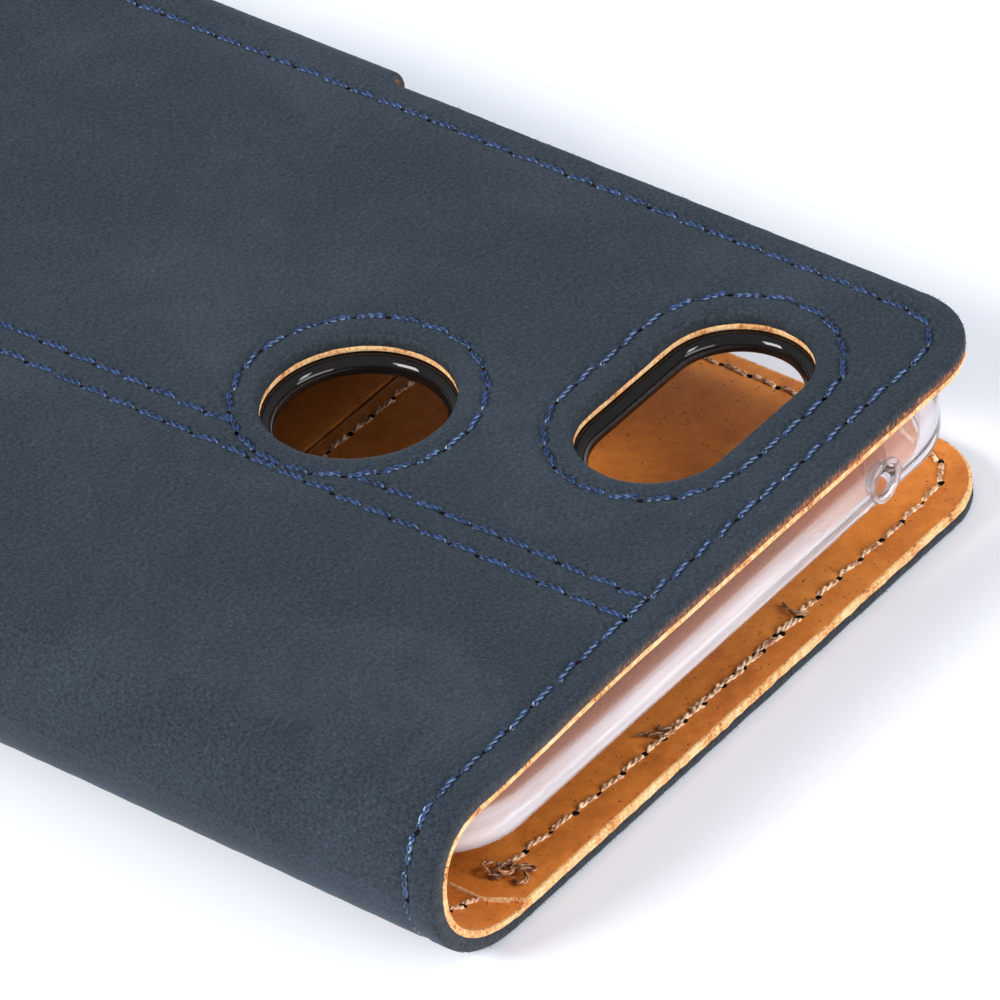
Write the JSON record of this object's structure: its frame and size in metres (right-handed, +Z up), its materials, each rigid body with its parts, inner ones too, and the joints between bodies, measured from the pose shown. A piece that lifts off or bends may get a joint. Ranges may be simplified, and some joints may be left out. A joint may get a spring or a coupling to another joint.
{
  "type": "phone wallet case",
  "caption": "Book-style leather wallet case with a clear snap-in phone tray, card slots, stitched stand fold and magnetic strap.",
  "frame": {"origin": "middle of the footprint on the table, with the case closed and its back panel up", "axes": "+X across from the spine to the free edge, +Y along the fold away from the camera end, +Z up through the back panel"},
  "size_m": [0.0808, 0.1526, 0.0177],
  "materials": {
    "navy_nubuck": "matt nubuck, fine nap, slightly mottled",
    "tan_leather": "smooth waxy cognac leather with dark specks, pale raw edges",
    "clear_tpu": "clear glossy soft plastic",
    "navy_thread": "twisted waxed thread",
    "cream_thread": "twisted waxed thread",
    "magnet_steel": "plain plated steel, sealed in the leather",
    "adhesive": "thin double-sided bonding film"
  },
  "bodies": {
    "front_cover": {"cover_hide": "navy_nubuck", "cover_lining": "tan_leather", "cover_top_panel": "tan_leather", "card_pocket_1": "tan_leather", "card_pocket_2": "tan_leather", "card_pocket_3": "tan_leather", "cover_magnet": "magnet_steel", "cover_edge_thread": "cream_thread", "pocket_thread": "cream_thread"},
    "spine": {"spine_hide": "navy_nubuck", "spine_lining": "tan_leather", "spine_thread": "navy_thread", "lower_bend_hide": "navy_nubuck", "lower_bend_lining": "tan_leather"},
    "back_hinge_side": {"back_hinge_hide": "navy_nubuck", "back_hinge_lining": "tan_leather", "back_hinge_edge_thread": "navy_thread", "stand_row_hinge_side": "navy_thread", "upper_bend_hide": "navy_nubuck", "upper_bend_lining": "tan_leather"},
    "back_free_side": {"stand_fold_hide": "navy_nubuck", "stand_fold_lining": "tan_leather", "back_hide": "navy_nubuck", "back_lining": "tan_leather", "back_edge_thread": "navy_thread", "stand_row_free_side": "navy_thread", "fingerprint_thread": "navy_thread", "camera_thread": "navy_thread", "tray_adhesive": "adhesive", "phone_tray": "clear_tpu"},
    "strap": {"strap_root_hide": "navy_nubuck", "strap_hide": "navy_nubuck", "strap_lining": "tan_leather"},
    "strap_tab": {"strap_tuck_hide": "navy_nubuck", "tab_hide": "navy_nubuck", "tab_lining": "tan_leather", "tab_magnet": "magnet_steel", "tab_thread": "navy_thread"}
  },
  "joints": [
    {"name": "cover_hinge", "type": "hinge", "parent": "front_cover", "child": "spine", "pos_m": [-0.03804, 0, 0.00223], "axis": [0, -1, 0], "range_deg": [0, 90], "deforming": ["lower_bend_hide", "lower_bend_lining"]},
    {"name": "spine_hinge", "type": "hinge", "parent": "spine", "child": "back_hinge_side", "pos_m": [-0.03804, 0, 0.01527], "axis": [0, -1, 0], "range_deg": [0, 90], "deforming": ["upper_bend_hide", "upper_bend_lining"]},
    {"name": "stand_fold", "type": "hinge", "parent": "back_hinge_side", "child": "back_free_side", "pos_m": [-0.00873, 0, 0.0165], "axis": [0, -1, 0], "range_deg": [0, 10], "deforming": ["stand_fold_hide", "stand_fold_lining"]},
    {"name": "strap_root", "type": "hinge", "parent": "back_free_side", "child": "strap", "pos_m": [0.03932, 0.0062, 0.0164], "axis": [0, -1, 0], "range_deg": [0, 90], "deforming": ["strap_root_hide"]},
    {"name": "strap_tuck", "type": "hinge", "parent": "strap", "child": "strap_tab", "pos_m": [0.03909, 0.0062, 0.00484], "axis": [0, -1, 0], "range_deg": [0, 90], "deforming": ["strap_tuck_hide"]}
  ],
  "couplings": [
    {"joint": "spine_hinge", "follows": "cover_hinge", "ratio": 1},
    {"joint": "strap_root", "follows": "cover_hinge", "ratio": 1},
    {"joint": "strap_tuck", "follows": "cover_hinge", "ratio": 1}
  ]
}
